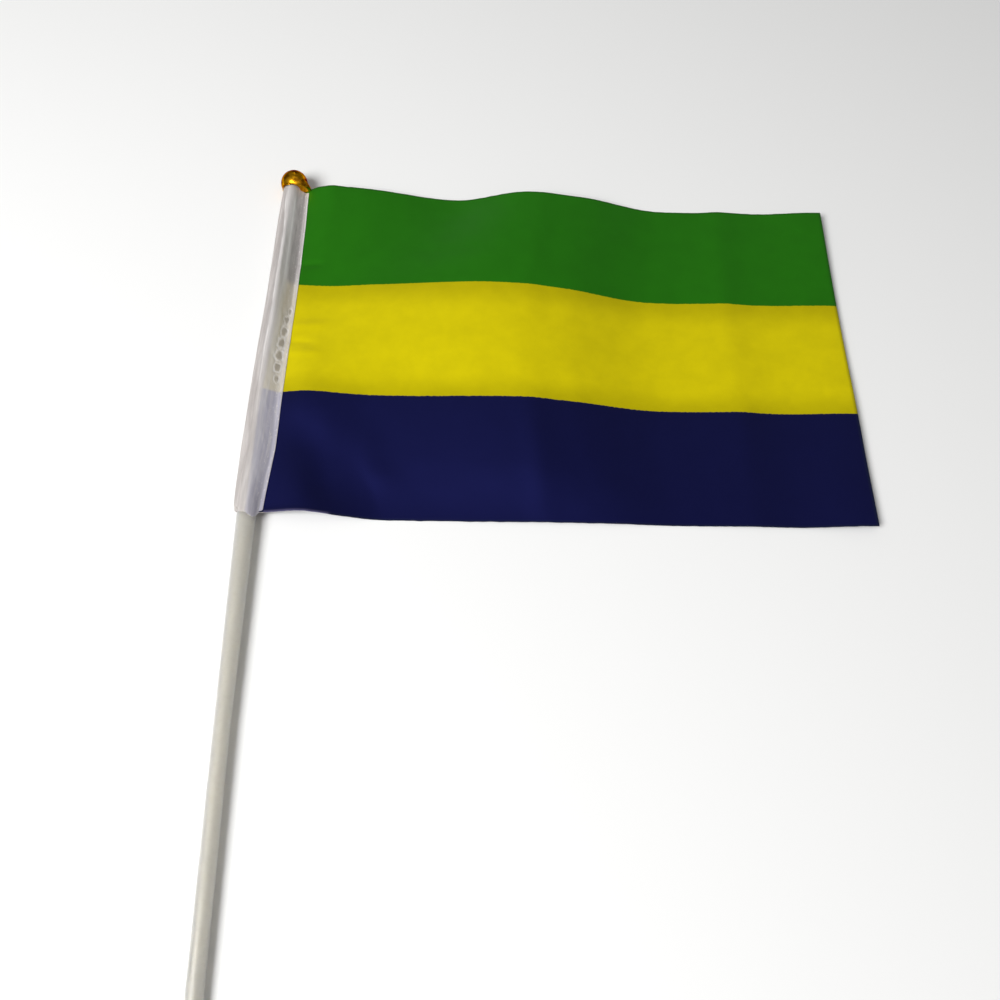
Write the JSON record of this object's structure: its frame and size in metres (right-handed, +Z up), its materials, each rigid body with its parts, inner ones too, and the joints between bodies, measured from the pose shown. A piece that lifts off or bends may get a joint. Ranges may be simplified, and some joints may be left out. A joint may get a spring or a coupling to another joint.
{
  "type": "stick flag",
  "caption": "Small hand flag lying face up: a striped cloth panel in soft folds, held in a white sleeve on a thin plastic tube with a gilt end cap.",
  "frame": {"origin": "on the surface it lies on, under the middle of its outer box", "axes": "+X from the sleeve towards the fly edge of the cloth, +Y along the tube towards its cap, +Z up out of the printed face"},
  "size_m": [0.2106, 0.3036, 0.0102],
  "materials": {
    "printed_cloth": "woven polyester, printed in equal green, yellow and blue stripes",
    "white_cloth": "thin white woven polyester, a little see-through",
    "white_plastic": "extruded off-white plastic, satin",
    "gilt_plastic": "plastic plated gold, mirror bright"
  },
  "bodies": {
    "root": {"flag_panel": "printed_cloth", "pole_sleeve": "white_cloth", "stick_tube": "white_plastic", "finial_cap": "gilt_plastic"}
  },
  "joints": []
}
